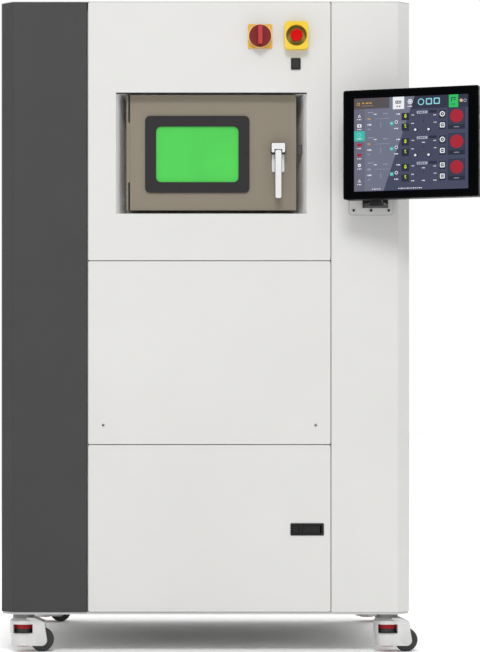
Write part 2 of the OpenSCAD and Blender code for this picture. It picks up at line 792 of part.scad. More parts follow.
// Square switch plate with the contact block behind the panel.
module switch_plate() {
    place() color(yellow) translate([switch_x, 0, switch_z]) difference() {
        union() {
            translate([0, -4, 0]) rounded_plate(switch_side, switch_side, 4, 3);
            translate([0, -9, 0]) along_y(46, 6);
            along_y(28, 12);
            translate([-24, fold / 2, -27]) cube([48, 50, 54]);
        }
        translate([0, -10, 0]) along_y(switch_shaft + 2 * run, 40);
    }
}

module switch_knob() {
    place() color(signal_red) translate([switch_x, 0, switch_z]) {
        translate([0, -24, 0]) along_y(knob_d, 14.6);
        translate([-5.75, -38, -24.5]) cube([11.5, 15, 49]);
        translate([0, -12, 0]) along_y(switch_shaft, 26);
    }
}

// Shroud round the stop button, with the contact block behind the panel.
module estop_guard() {
    place() color(yellow) translate([estop_x, 0, switch_z]) difference() {
        union() {
            translate([0, -26, 0]) rounded_plate(estop_w, estop_h, 26, 11);
            along_y(28, 14);
            translate([-18, fold / 2, -24]) cube([36, 55, 48]);
        }
        translate([0, -27, 0]) rotate([-90, 0, 0]) cylinder(d1 = 56, d2 = 50, h = 22);
        translate([0, -10, 0]) along_y(estop_shaft + 2 * run, 50);
    }
}

module estop_button() {
    place() color(signal_red) translate([estop_x, -5 - clear - estop_travel, switch_z]) {
        translate([0, -21, 0]) along_y(estop_d, 7);
        translate([0, -14.5, 0]) along_y(28, 9);
        translate([0, -6, 0]) rotate([-90, 0, 0]) cylinder(d1 = 28, d2 = 24, h = 5.9);
        translate([0, -6, 0]) along_y(estop_shaft, 34);
    }
}

// Panel-mount data socket with a sprung-open mouth.
module service_port() {
    place() color(black) translate([port_x, 0, port_z]) difference() {
        union() {
            translate([0, -3, 0]) rounded_plate(26, 31, 3, 2);
            translate([0, -0.1, 0]) along_y(23, 24);
        }
        translate([-6.5, -4, -4]) cube([13, 20, 8]);
    }
}

// Plate on the right column that carries the screen's bracket, screwed at six places.
module screen_wall_plate() {
    place() color(white) translate([wall_plate_x, 0, wall_plate_z0 + wall_plate_h / 2]) difference() {
        translate([0, -4, 0]) rounded_plate(wall_plate_w, wall_plate_h, 4, 10);
        for (x = [-1:1], z = [-1, 1]) translate([x * 47, -5, z * (wall_plate_h / 2 - 10.5)]) along_y(5.4, 6);
    }
    place() color(steel) for (x = [-1:1], z = [-1, 1])
        translate([wall_plate_x + x * 47, -6.5, wall_plate_z0 + wall_plate_h / 2 + z * (wall_plate_h / 2 - 10.5)]) {
            along_y(9, 2.5);
            along_y(5, 6.5);
        }
}

// Fixed half of the swivel bracket: back plate with a lug and a pin at each end.
module screen_bracket() {
    place() color(dark) translate([pivot_x, 0, bracket_z0]) {
        span([-bracket_w / 2, -14, 0], [bracket_w / 2, -4, bracket_h]);
        for (z = [0, bracket_h - lug_t]) {
            translate([0, 0, z]) linear_extrude(lug_t) {
                polygon([[-bracket_w / 2, -13], [-lug_r, -pivot_out], [lug_r, -pivot_out],
                    [bracket_w / 2, -13]]);
                translate([0, -pivot_out]) circle(r = lug_r);
            }
        }
        translate([0, -pivot_out, 1]) cylinder(d = pivot_pin_d, h = bracket_h - 2);
    }
}

// Moves children from the screen's own frame (X right along the screen, -Y towards the
// operator, origin on the swivel axis) to the cabinet.
module at_screen() {
    translate([pivot_x, -pivot_out, screen_z]) rotate([0, 0, -screen_yaw]) children();
}

// Turning barrel with the two ears and the pin of the tilt joint.
module screen_swivel() {
    place() color(dark) at_screen() difference() {
        union() {
            translate([0, 0, bracket_z0 + lug_t + clear - screen_z])
                cylinder(d = barrel_d, h = bracket_h - 2 * lug_t - 2 * clear);
            for (s = [-1, 1]) translate([s * ear_x - ear_t / 2, 0, 0]) rotate([90, 0, 90]) linear_extrude(ear_t) {
                translate([-tilt_out, 0]) circle(d = ear_d);
                translate([-tilt_out, -ear_d / 2]) square([tilt_out, ear_d]);
            }
            translate([-ear_x - ear_t - 8, -tilt_out, 0]) rotate([0, 90, 0])
                cylinder(d = tilt_pin_d, h = 2 * (ear_x + ear_t + 8));
        }
        translate([0, 0, bracket_z0 - screen_z])
            cylinder(r = pivot_pin_d / 2 + run, h = bracket_h);
    }
}

// Screen housing: a shell open to the front, with its tilt ears on the back.
module screen_housing() {
    y1 = -tilt_out - back_out;
    mid = screen_w / 2 - screen_left;
    place() color(black) at_screen() {
        difference() {
            translate([mid, y1 - screen_t, 0]) rounded_plate(screen_w, screen_h, screen_t, screen_r);
            translate([mid, y1 - screen_t - 1, 0])
                rounded_plate(screen_w - 8, screen_h - 8, 4.2, screen_r - 2);
            translate([mid, y1 - screen_t + 6, 0]) rounded_plate(screen_w - 2 * screen_wall - 4,
                screen_h - 2 * screen_wall - 4, screen_t - 9, screen_r - 3);
            translate([mid, y1 - screen_t + 2, 0]) rounded_plate(screen_w - 30, screen_h - 30, 5, 2);
        }
        translate([20, y1, 0]) rounded_plate(120, 60, 4, 4);
        for (s = [-1, 1]) difference() {
            translate([s * (ear_x + ear_t + clear) - ear_t / 2, 0, 0]) rotate([90, 0, 90])
                linear_extrude(ear_t) {
                    translate([-tilt_out, 0]) circle(d = ear_d);
                    translate([y1, -ear_d / 2]) square([back_out, ear_d]);
                }
            translate([-40, -tilt_out, 0]) rotate([0, 90, 0])
                cylinder(r = tilt_pin_d / 2 + run, h = 80);
        }
    }
}

module screen_glass() {
    y1 = -tilt_out - back_out;
    place() color(black) at_screen() translate([screen_w / 2 - screen_left, y1 - screen_t, 0])
        rounded_plate(screen_w - 8.6, screen_h - 8.6, 3, screen_r - 2.3);
}

// Thick hollow chamber door: front skin, edges, window tunnel and hinge strip.
module chamber_door() {
    mid_x = (door_x0 + door_x1) / 2;
    mid_z = (door_z0 + door_z1) / 2;
    tunnel = [glass_w + 2 * door_wall + 20, glass_h + 2 * door_wall + 20];
    place() color(taupe) difference() {
        union() {
            difference() {
                translate([mid_x, door_y0, mid_z]) rounded_plate(door_w, door_h, door_t, 2.5);
                difference() {
                    span([door_x0 + door_wall, door_y0 + door_wall, door_z0 + door_wall],
                        [door_x1 - door_wall, door_y1 - door_wall, door_z1 - door_wall]);
                    translate([window_x, door_y0, window_z])
                        span([-tunnel[0] / 2, -1, -tunnel[1] / 2], [tunnel[0] / 2, door_t + 1, tunnel[1] / 2]);
                }
            }
            hinge_edge();
        }
        translate([window_x, door_y0 - 1, window_z])
            rounded_plate(glass_w + 2 * pane_lip + 1, glass_h + 2 * pane_lip + 1, pane_t + 2, bezel_r);
        translate([window_x, door_y0 - 1, window_z]) rounded_plate(glass_w, glass_h, door_t + 2, bezel_r);
        translate([lever_x, door_y0 - 1, lever_z]) along_y(spindle_d + 1, door_wall + 2);
        span([door_x1 - door_wall - 1, cam_y - 7, lever_z - 14], [door_x1 + 1, cam_y + 7, lever_z + cam_slot]);
        for (z = hinge_z) hinge_notch(z);
    }
}

// Hinge strip along the door's left edge, joined to the door over its middle stretch.
module hinge_edge() {
    span([slit_x, door_y0, door_z0], [slit_x + hinge_strip, door_y0 + 28, door_z1]);
    span([slit_x, door_y0 + 0.5, bridge[0]], [door_x0 + 4, door_y0 + 28, bridge[1]]);
    translate([door_axis[0], door_axis[1], door_z0]) cylinder(d = 11, h = door_h);
}

// Room for a knuckle of the frame and its pin.
module hinge_notch(z) {
    translate([door_axis[0], door_axis[1], z - clear]) {
        translate([-8, -9, 0]) cube([14.5, 60, knuckle_h + 2 * clear]);
        translate([0, 0, -14]) cylinder(r = hinge_pin_d / 2 + run, h = knuckle_h + 28);
    }
}

module window_bezel() {
    place() color(black) translate([window_x, door_y0, window_z]) difference() {
        translate([0, -bezel_t, 0]) rounded_plate(bezel_w, bezel_h, bezel_t, bezel_r);
        translate([0, -bezel_t - 1, 0]) rounded_plate(glass_w, glass_h, bezel_t + 2, bezel_r);
    }
}

module window_glass() {
    place() color([0.27, 0.8, 0.28]) translate([window_x, door_y0 + 0.2, window_z])
        rounded_plate(glass_w + 2 * pane_lip, glass_h + 2 * pane_lip, pane_t, bezel_r - 0.5);
}

// Escutcheon of the lever, screwed to the door.
module handle_base() {
    place() color(steel) translate([lever_x, door_y0, lever_z]) difference() {
        translate([0, -8, hub[1] / 2 - base_h / 2]) rounded_plate(hub[0] - 3, base_h, 8, 4);
        translate([0, -9, 0]) along_y(spindle_d + 2 * run, 10);
    }
}

// Lever with its hub, spindle and cam; it hangs when the cam is clear of the keeper.
module door_handle() {
    place() color(steel) translate([lever_x, door_y0, lever_z]) {
        difference() {
            translate([0, -30, 0]) rounded_plate(hub[0], hub[1], 30 - 8 - clear, 3);
            translate([0, -31, -hub[1] / 2]) rounded_plate(lever_w + 5, 2 * lever_drop + 4, 8, 1);
        }
        translate([0, -34, -lever_drop - lever_l / 2]) rounded_plate(lever_w, lever_l, 12, 4);
        translate([0, -12, 0]) along_y(spindle_d, 12 + cam_y - door_y0 + 6);
        translate([-10, cam_y - door_y0 - 4, 0]) cube([20, 8, cam_l]);
        translate([0, cam_y - door_y0 - 4, 0]) along_y(24, 8);
    }
}

// Lower door: a pan that turns on two pins inside its left fold.
module lower_door() {
    z0 = skin_z + 1;
    z1 = lower_seam_z - seam / 2;
    place() color(white) difference() {
        pan(left_x, right_x, z0, z1);
        translate([latch_x, -1, latch_z]) rounded_plate(latch_w - 5, latch_h - 5, sheet + 2, 1);
        translate([door_hinge_axis[0], door_hinge_axis[1], z0 - 1])
            cylinder(r = pivot_d / 2 + run, h = z1 - z0 + 2);
        for (z = hinge_arm_z) span([left_x - 1, sheet + 0.2, z - 3], [left_x + sheet + 1, fold + 1, z + 13]);
    }
}

// Flush latch housing with a pocket for the paddle and one for the key.
module latch_frame() {
    place() color(black) translate([latch_x, 0, latch_z]) difference() {
        union() {
            translate([0, -1.5, 0]) rounded_plate(latch_w, latch_h, 1.5, 3);
            translate([0, -0.1, 0]) rounded_plate(latch_w - 6, latch_h - 6, 22, 1);
        }
        span([paddle_x[0] - 1, -2, -11], [39, 18, 11]);
        span([key_x[0] - 1, -2, -11], [key_x[1] + 1, 18, 11]);
    }
    place() color(steel) translate([latch_x + paddle_axis[0], paddle_axis[1], latch_z - 12])
        cylinder(d = paddle_pin_d, h = 24);
}

module latch_paddle() {
    place() color(black) translate([latch_x, 0, latch_z]) difference() {
        union() {
            span([paddle_x[0], 0.3, -10.4], [paddle_x[1], 4.3, 10.4]);
            translate([paddle_axis[0], paddle_axis[1], -10.4]) cylinder(d = 9, h = 20.8);
            span([paddle_axis[0] - 4.5, 3, -10.4], [paddle_axis[0] + 1, paddle_axis[1], 10.4]);
        }
        translate([paddle_axis[0], paddle_axis[1], -12]) cylinder(r = paddle_pin_d / 2 + run, h = 24);
    }
}

module latch_key() {
    place() color(black) translate([latch_x, 0, latch_z])
        span([key_x[0], 0.3, -10.4], [key_x[1], 13, 10.4]);
}

// Recoater: a carriage round the rail with its arm and blade over the working plane.
module recoater_carriage() {
    x0 = bed_x - chamber_w / 2 + 30;
    z1 = rail_h + 24;
    place() color(steel) translate([x0, 0, 0]) {
        difference() {
            span([-25, rail_y - 24, rail_h - 24], [25, rail_y + 9, z1]);
            span([-26, rail_y - 10 - clear, rail_h - 10 - clear], [26, rail_y + 25, rail_h + 10 + clear]);
        }
        span([-20, bed_y - build_side / 2 - 12, cham_z0 + 40], [20, rail_y - 20, cham_z0 + 68]);
        span([-20, rail_y - 48, cham_z0 + 40], [20, rail_y - 20, z1 - 6]);
        span([-5, bed_y - build_side / 2 - 8, cham_z0 + 0.6], [5, bed_y + build_side / 2 + 8, cham_z0 + 41]);
    }
}

// Swivelling caster body: a round tower on the levelling screw, and a fork that reaches
// over the wheel to its axle.
module caster_housing(at) {
    axle = [wheel_offset, wheel_d / 2];
    place() color(cast) translate([at[0], at[1], 0]) difference() {
        union() {
            rotate_extrude() polygon([[0, body_bottom], [tower_r, body_bottom],
                [tower_r, thumb_z[0] - 3], [collar_r, thumb_z[0] - 1], [collar_r, shoulder_z[0]],
                [neck_r, shoulder_z[1]], [neck_r, caster_h - e], [0, caster_h - e]]);
            translate([0, fork_w / 2, 0]) rotate([90, 0, 0]) linear_extrude(fork_w) {
                polygon([[10, body_bottom], [axle[0], axle[1] - lobe_r], [axle[0] + lobe_r - 0.4, axle[1] + 3],
                    [axle[0] + 9, axle[1] + 35], [axle[0] + 8, axle[1] + 49], [neck_r, shoulder_z[1] + 2],
                    [10, shoulder_z[1] + 2]]);
                translate(axle) circle(r = lobe_r);
            }
            translate([axle[0], -fork_w / 2 - boss_t, axle[1]]) along_y(2 * lobe_r - 4, fork_w + 2 * boss_t);
        }
        // room for the wheel
        translate([axle[0], -fork_gap / 2, axle[1]]) along_y(wheel_d + 4, fork_gap);
        span([axle[0] - wheel_d / 2 + 8, -fork_gap / 2, 0], [axle[0] + 50, fork_gap / 2, axle[1]]);
        // window of the levelling wheel, and the seat of its pad
        span([-window_w / 2, -collar_r - 1, thumb_z[0]], [window_w / 2, collar_r + 1, thumb_z[1]]);
        translate([0, 0, -1]) cylinder(d = pad_d + 2 * clear, h = pad_z + pad_h + clear + 1);
        cylinder(r = stem_d / 2 + run, h = caster_h + 1);
        translate([0, 0, caster_h - 9 - clear]) cylinder(r = race_r + run, h = 12);
    }
    place() color(steel) translate([at[0] + axle[0], at[1] - fork_w / 2 - boss_t - 3, axle[1]])
        along_y(axle_d, fork_w + 2 * boss_t + 6);
}

module caster_wheel(at) {
    place() color(black) translate([at[0] + wheel_offset, at[1] - wheel_w / 2, wheel_d / 2])
        rotate([-90, 0, 0]) rotate_extrude() {
            polygon([[axle_d / 2 + run, 0], [wheel_d / 2 - 5, 0], [wheel_d / 2 - 1.5, 1.5],
                [wheel_d / 2, 5], [wheel_d / 2, wheel_w - 5], [wheel_d / 2 - 1.5, wheel_w - 1.5],
                [wheel_d / 2 - 5, wheel_w], [axle_d / 2 + run, wheel_w]]);
        }
}

// Knurled wheel on the nut of the levelling screw; it turns inside the body's window.
module caster_thumbwheel(at) {
    nut_h = (thumb_z[1] - thumb_z[0]) / 2;
    knurls = 18;
    place() color(signal_red) translate([at[0], at[1], 0]) difference() {
        union() {
            translate([0, 0, thumb_z[0] + clear]) cylinder(d = 2 * stem_d + 2, h = nut_h);
            translate([0, 0, thumb_z[0] + nut_h]) cylinder(d = thumb_d, h = nut_h - clear);
        }
        translate([0, 0, thumb_z[0] - 1]) cylinder(r = stem_d / 2 + run, h = 2 * nut_h + 2);
        for (k = [0:knurls - 1]) rotate([0, 0, k * 360 / knurls])
            translate([thumb_d / 2 + 1.6, 0, thumb_z[0]]) cylinder(d = 6, h = 2 * nut_h);
    }
}

// Levelling foot on its screw, drawn up into the body.
module caster_pad(at) {
    place() color(black) translate([at[0], at[1], pad_z]) {
        cylinder(d = pad_d, h = pad_h);
        translate([0, 0, pad_h - 1]) cylinder(d = stem_d, h = thumb_z[1] + pad_travel - pad_z - pad_h + 1);
    }
}

fl = [-swivel_x, swivel_y[0]];
fr = [swivel_x, swivel_y[0]];
bl = [-swivel_x, swivel_y[1]];
br = [swivel_x, swivel_y[1]];

frame();
caster_plates();
left_column_cover();
right_column_cover();
upper_front_panel();
recess_liner();
middle_front_panel();
panel_locks();
left_side_panel();
right_side_panel();
rear_panel();
top_cover();
chamber_body();
door_seal();
build_cylinder();
lift_actuator();
powder_hopper();
scanner_head();
laser_source();
filter_unit();
control_plate();
fan_frame();
switch_plate();
estop_guard();
service_port();
screen_wall_plate();
screen_bracket();
chamber_door();
window_bezel();
window_glass();
handle_base();
door_handle();
lower_door();
latch_frame();
latch_paddle();
latch_key();
screen_swivel();
screen_housing();
screen_glass();
switch_knob();
estop_button();
recoater_carriage();
build_platform();
fan_impeller();
caster_housing(fl);  // caster_fl_housing
caster_wheel(fl);  // caster_fl_wheel
caster_thumbwheel(fl);  // caster_fl_thumbwheel
caster_pad(fl);  // caster_fl_pad
caster_housing(fr);  // caster_fr_housing
caster_wheel(fr);  // caster_fr_wheel
caster_thumbwheel(fr);  // caster_fr_thumbwheel
caster_pad(fr);  // caster_fr_pad
caster_housing(bl);  // caster_bl_housing
caster_wheel(bl);  // caster_bl_wheel
caster_thumbwheel(bl);  // caster_bl_thumbwheel
caster_pad(bl);  // caster_bl_pad
caster_housing(br);  // caster_br_housing
caster_wheel(br);  // caster_br_wheel
caster_thumbwheel(br);  // caster_br_thumbwheel
caster_pad(br);  // caster_br_pad
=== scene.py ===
import math

import bmesh
import bpy
from mathutils import Matrix, Vector


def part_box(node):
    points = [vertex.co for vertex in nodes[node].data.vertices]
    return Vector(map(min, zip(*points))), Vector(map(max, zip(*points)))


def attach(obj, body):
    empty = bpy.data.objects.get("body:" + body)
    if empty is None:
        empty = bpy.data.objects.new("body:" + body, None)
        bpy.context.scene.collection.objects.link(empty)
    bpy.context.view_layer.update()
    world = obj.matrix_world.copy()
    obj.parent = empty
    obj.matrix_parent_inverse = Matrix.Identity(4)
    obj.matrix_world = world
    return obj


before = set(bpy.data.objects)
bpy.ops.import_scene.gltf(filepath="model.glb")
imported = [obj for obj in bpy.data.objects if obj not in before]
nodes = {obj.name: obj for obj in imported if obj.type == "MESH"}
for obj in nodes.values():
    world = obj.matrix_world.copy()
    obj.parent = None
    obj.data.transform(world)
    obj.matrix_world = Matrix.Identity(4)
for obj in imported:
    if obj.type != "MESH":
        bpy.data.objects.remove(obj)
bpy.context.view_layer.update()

MM = 0.001
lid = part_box("top_cover")
CX = (lid[0].x + lid[1].x) / 2      # middle of the cabinet
FY = lid[0].y                       # plane of its front face


def at(x, y, z):
    """A point given in mm from the middle of the cabinet's front face, at floor level."""
    return Vector((CX + x * MM, FY + y * MM, z * MM))


# ---------------------------------------------------------------- materials

def build(name, make):
    """A node material: make(tree, coordinates) returns the shader socket."""
    m = bpy.data.materials.new(name)
    m.use_nodes = True
    t = m.node_tree
    t.nodes.clear()
    out = t.nodes.new("ShaderNodeOutputMaterial")
    tc = t.nodes.new("ShaderNodeTexCoord")
    shader = make(t, tc.outputs["Object"])
    t.links.new(shader, out.inputs["Surface"])
    return m


def noise(t, vec, scale, detail=3.0, rough=0.55, stretch=None):
    if stretch:
        mp = t.nodes.new("ShaderNodeMapping")
        mp.inputs["Scale"].default_value = stretch
        t.links.new(vec, mp.inputs["Vector"])
        vec = mp.outputs["Vector"]
    n = t.nodes.new("ShaderNodeTexNoise")
    n.inputs["Scale"].default_value = scale
    n.inputs["Detail"].default_value = detail
    n.inputs["Roughness"].default_value = rough
    t.links.new(vec, n.inputs["Vector"])
    return n.outputs["Fac"]


def remap(t, fac, a, b, lo, hi):
    r = t.nodes.new("ShaderNodeMapRange")
    r.clamp = True
    for key, v in (("From Min", a), ("From Max", b), ("To Min", lo), ("To Max", hi)):
        r.inputs[key].default_value = v
    t.links.new(fac, r.inputs["Value"])
    return r.outputs["Result"]


def mix(t, fac, c1, c2):
    m = t.nodes.new("ShaderNodeMix")
    m.data_type = "RGBA"
    for v, i in ((fac, 0), (c1, 6), (c2, 7)):
        if isinstance(v, (tuple, list)):
            m.inputs[i].default_value = (*v[:3], 1)
        elif isinstance(v, float):
            m.inputs[i].default_value = v
        else:
            t.links.new(v, m.inputs[i])
    return m.outputs[2]


def bump(t, height, strength, distance, bevel=0.0):
    b = t.nodes.new("ShaderNodeBump")
    b.inputs["Strength"].default_value = strength
    b.inputs["Distance"].default_value = distance
    t.links.new(height, b.inputs["Height"])
    if bevel:
        r = t.nodes.new("ShaderNodeBevel")
        r.samples = 4
        r.inputs["Radius"].default_value = bevel
        t.links.new(r.outputs["Normal"], b.inputs["Normal"])
    return b.outputs["Normal"]


def bsdf(t, colour, rough, metal=0.0, normal=None, **kw):
    p = t.nodes.new("ShaderNodeBsdfPrincipled")
    for key, v in (("Base Color", colour), ("Roughness", rough), ("Metallic", metal), ("Normal", normal),
                   *((k.replace("_", " "), w) for k, w in kw.items())):
        if v is None:
            continue
        if isinstance(v, (tuple, list)):
            p.inputs[key].default_value = (*v[:3], 1)
        elif isinstance(v, (int, float)):
            p.inputs[key].default_value = v
        else:
            t.links.new(v, p.inputs[key])
    return p.outputs["BSDF"]


def scaled(c, k):
    return tuple(min(1.0, v * k) for v in c)


def powder_coat(name, colour, rough=0.5, grain=1400.0, depth=0.00006, vary=0.04, bevel=0.0009, gloss=0.5):
    """Textured powder coat: fine grain, slight mottling and a little uneven gloss."""
    def make(t, v):
        broad = noise(t, v, 2.3, 4.0)
        fine = noise(t, v, grain, 2.0, 0.6)
        tone = mix(t, remap(t, broad, 0.3, 0.7, 0.0, 1.0), scaled(colour, 1 - vary), scaled(colour, 1 + vary / 2))
        speck = mix(t, remap(t, fine, 0.35, 0.65, 0.0, 0.5), tone, scaled(colour, 0.94))
        r = remap(t, noise(t, v, 7.0, 5.0), 0.3, 0.7, rough - 0.05, rough + 0.06)
        return bsdf(t, speck, r, 0.0, bump(t, fine, 0.35, depth, bevel), Specular_IOR_Level=gloss)
    return build(name, make)


def brushed(name, colour, rough=0.32, stretch=(3, 3, 160), bevel=0.0006, metal=1.0):
    """Brushed or ground metal with fine lines and faint stains."""
    def make(t, v):
        lines = noise(t, v, 12.0, 6.0, 0.7, stretch)
        stain = noise(t, v, 5.0, 5.0, 0.6)
        c = mix(t, remap(t, stain, 0.3, 0.7, 0.0, 1.0), scaled(colour, 0.9), scaled(colour, 1.05))
        c = mix(t, remap(t, lines, 0.35, 0.65, 0.0, 0.35), c, scaled(colour, 0.8))
        r = remap(t, lines, 0.3, 0.7, rough - 0.08, rough + 0.12)
        return bsdf(t, c, r, metal, bump(t, lines, 0.15, 0.0001, bevel))
    return build(name, make)


def moulded(name, colour, rough=0.4, grain=900.0, depth=0.00005, bevel=0.0006, coat=0.0, vary=0.06, gloss=0.5):
    """Moulded plastic: spark-eroded grain, slight sheen changes."""
    def make(t, v):
        fine = noise(t, v, grain, 2.0, 0.5)
        broad = noise(t, v, 14.0, 3.0)
        c = mix(t, remap(t, broad, 0.3, 0.7, 0.0, 1.0), scaled(colour, 1 - vary), scaled(colour, 1 + vary))
        r = remap(t, noise(t, v, 40.0, 4.0), 0.3, 0.7, rough - 0.06, rough + 0.08)
        return bsdf(t, c, r, 0.0, bump(t, fine, 0.25, depth, bevel),
                    Specular_IOR_Level=gloss, Coat_Weight=coat, Coat_Roughness=0.12)
    return build(name, make)


def cast_metal(name, colour, rough=0.45):
    """Die-cast housing with a sprayed finish and soft edges."""
    def make(t, v):
        fine = noise(t, v, 600.0, 3.0, 0.6)
        broad = noise(t, v, 18.0, 4.0)
        c = mix(t, remap(t, broad, 0.35, 0.65, 0.0, 1.0), scaled(colour, 0.94), scaled(colour, 1.03))
        r = remap(t, fine, 0.3, 0.7, rough - 0.07, rough + 0.1)
        return bsdf(t, c, r, 0.35, bump(t, fine, 0.4, 0.00012, 0.0014))
    return build(name, make)


def lin(r, g, b):
    """sRGB 0-255 to linear."""
    return tuple((c / 255 / 12.92) if c <= 10 else ((c / 255 + 0.055) / 1.055) ** 2.4 for c in (r, g, b))


def lit(name, colour, level=1.0, vary=0.05):
    """Part of the lit display: its own light, a fine pixel pattern and a glossy cover."""
    def make(t, v):
        fine = noise(t, v, 2600.0, 1.0)
        broad = noise(t, v, 9.0, 2.0)
        c = mix(t, remap(t, broad, 0.3, 0.7, 0.0, 1.0), scaled(colour, 1 - vary), scaled(colour, 1 + vary))
        c = mix(t, remap(t, fine, 0.4, 0.6, 0.0, 0.12), c, scaled(colour, 0.8))
        return bsdf(t, (0.005, 0.005, 0.006), 0.12, 0.0, None,
                    Emission_Color=c, Emission_Strength=level, Specular_IOR_Level=0.02)
    return build(name, make)


def filter_glass(name):
    """Thick green laser-filter pane over a dark chamber; it glows faintly with painted light of its own."""
    def make(t, v):
        broad = noise(t, v, 6.0, 3.0)
        c = mix(t, remap(t, broad, 0.3, 0.7, 0.0, 1.0), (0.038, 0.45, 0.045), (0.046, 0.51, 0.055))
        r = remap(t, noise(t, v, 30.0, 3.0), 0.3, 0.7, 0.1, 0.2)
        return bsdf(t, c, r, 0.0, None, Emission_Color=c, Emission_Strength=0.12, Coat_Weight=0.3, Coat_Roughness=0.05)
    return build(name, make)


white = powder_coat("white_coat", (0.65, 0.645, 0.632), 0.5, bevel=0.0012, gloss=0.35)
dark = powder_coat("dark_coat", (0.044, 0.044, 0.045), 0.62, gloss=0.3, grain=1100.0, depth=0.0001,
                   vary=0.08, bevel=0.0012)
grey_frame = powder_coat("frame_coat", (0.55, 0.55, 0.54), 0.5)
taupe = powder_coat("taupe_coat", (0.209, 0.178, 0.132), 0.45, depth=0.00004, vary=0.05, bevel=0.0015)
# graphite coat of the inner parts, also used as painted shade in the lever hub's pocket
graphite_and_handle_shade = powder_coat("graphite_coat_and_handle_shade", (0.05, 0.05, 0.052), 0.5, vary=0.1)
bezel_black = powder_coat("bezel_black", (0.015, 0.013, 0.0145), 0.5, gloss=0.25, vary=0.08, bevel=0.0006)
steel = brushed("ground_steel", (0.58, 0.585, 0.6), 0.34)
zinc = brushed("zinc_plate", (0.62, 0.62, 0.63), 0.4, (40, 40, 40))
chrome = brushed("satin_nickel", (0.72, 0.71, 0.72), 0.3, (30, 30, 200), metal=0.45)
black_plastic = moulded("black_plastic", (0.009, 0.008, 0.009), 0.45, vary=0.15, gloss=0.22)
housing_black = moulded("housing_black", (0.001, 0.001, 0.0013), 0.38, 700.0, 0.00004, 0.0012, vary=0.2, gloss=0.05)
nylon = moulded("wheel_nylon", (0.016, 0.016, 0.016), 0.5, 500.0, 0.0001, 0.0012, vary=0.2)
yellow = moulded("yellow_plastic", (0.74, 0.52, 0.03), 0.4, coat=0.1, gloss=0.3)
red = moulded("red_plastic", (0.17, 0.008, 0.009), 0.38, coat=0.03, gloss=0.25)
signal_red = moulded("signal_red", (0.53, 0.002, 0.001), 0.34, coat=0.03, gloss=0.08)
red_dark = moulded("levelling_red", (0.4, 0.012, 0.014), 0.42, gloss=0.25)
# rubber of the door seal, also used as painted shade in the hinge slits
rubber_and_slit_shade = moulded("seal_rubber", (0.02, 0.02, 0.02), 0.7, 300.0, 0.00015, vary=0.2)
casting = cast_metal("casting", (0.62, 0.615, 0.61))
# painted shade for the gap at the top of the recess
recess_shade_black = moulded("recess_edge_shade", (0.006, 0.006, 0.006), 0.8, 300.0, 0.0001, vary=0.2, gloss=0.1)
# painted shade: olive stands in for the shade inside the stop button's guard
painted_guard_shade = moulded("olive_recess_shade", (0.34, 0.32, 0.07), 0.5, gloss=0.2)
rib_red = moulded("rib_red", (0.43, 0.035, 0.038), 0.4, coat=0.1, gloss=0.25)
# painted shade for the wall plate's edges and its outline
plate_edge_shade = powder_coat("plate_edge_shade", (0.2, 0.2, 0.2), 0.6, vary=0.1)
# painted shade for the top of each caster's neck, under the cabinet
neck_painted_shade = brushed("neck_painted_shade", (0.19, 0.19, 0.19), 0.45, (60, 60, 200), metal=0.5)
# black oxide of the screws and flap, also used as painted shade round the door lever
screw_black_and_lever_shade = moulded("black_oxide_and_lever_shade", (0.012, 0.012, 0.012), 0.4, 500.0, gloss=0.3, vary=0.2)
collar_gold = moulded("collar_gold", (1.0, 0.66, 0.3), 0.35, gloss=0.4)
chrome_wire = brushed("chrome_wire", (0.7, 0.7, 0.71), 0.22, (60, 60, 60))
plate_yellow = moulded("plate_yellow", (0.72, 0.42, 0.05), 0.42, gloss=0.3)
# painted light: the liner's white is brighter than the cabinet's white, to lift the shade inside the recess
liner_white_painted_light = powder_coat("liner_white_painted_light", (0.93, 0.925, 0.915), 0.5, bevel=0.0012, gloss=0.4)
bracket_black = powder_coat("bracket_black", (0.022, 0.021, 0.021), 0.5, vary=0.1, gloss=0.25)
lock_white = powder_coat("lock_white", (0.6, 0.6, 0.59), 0.4, vary=0.06)
pane = filter_glass("filter_pane")


def display_glass(name):
    """Glossy black cover glass with the faintest smears."""
    def make(t, v):
        smear = noise(t, v, 11.0, 5.0, 0.65)
        r = remap(t, smear, 0.35, 0.7, 0.05, 0.13)
        c = mix(t, remap(t, smear, 0.3, 0.7, 0.0, 1.0), (0.0006, 0.0008, 0.001), (0.001, 0.0012, 0.0015))
        return bsdf(t, c, r, 0.0, None, Specular_IOR_Level=0.02)
    return build(name, make)


cover_glass = display_glass("cover_glass")

FINISH = {
    "frame": grey_frame, "caster_plates": zinc, "left_column_cover": dark,
    "right_column_cover": white, "upper_front_panel": white, "recess_liner": liner_white_painted_light,
    "middle_front_panel": white, "panel_locks": lock_white, "left_side_panel": white,
    "right_side_panel": white, "rear_panel": white, "top_cover": white,
    "chamber_body": steel, "door_seal": rubber_and_slit_shade, "build_cylinder": steel,
    "lift_actuator": graphite_and_handle_shade, "powder_hopper": steel, "scanner_head": graphite_and_handle_shade,
    "laser_source": graphite_and_handle_shade, "filter_unit": steel, "control_plate": zinc,
    "fan_frame": black_plastic, "switch_plate": plate_yellow, "estop_guard": yellow,
    "service_port": black_plastic, "screen_wall_plate": white, "screen_bracket": bracket_black,
    "chamber_door": taupe, "window_bezel": bezel_black, "window_glass": pane,
    "handle_base": chrome, "door_handle": chrome, "lower_door": white,
    "latch_frame": black_plastic, "latch_paddle": black_plastic, "latch_key": black_plastic,
    "screen_swivel": bracket_black, "screen_housing": housing_black, "screen_glass": cover_glass,
    "switch_knob": red, "estop_button": signal_red, "recoater_carriage": steel,
    "build_platform": steel, "fan_impeller": black_plastic,
}
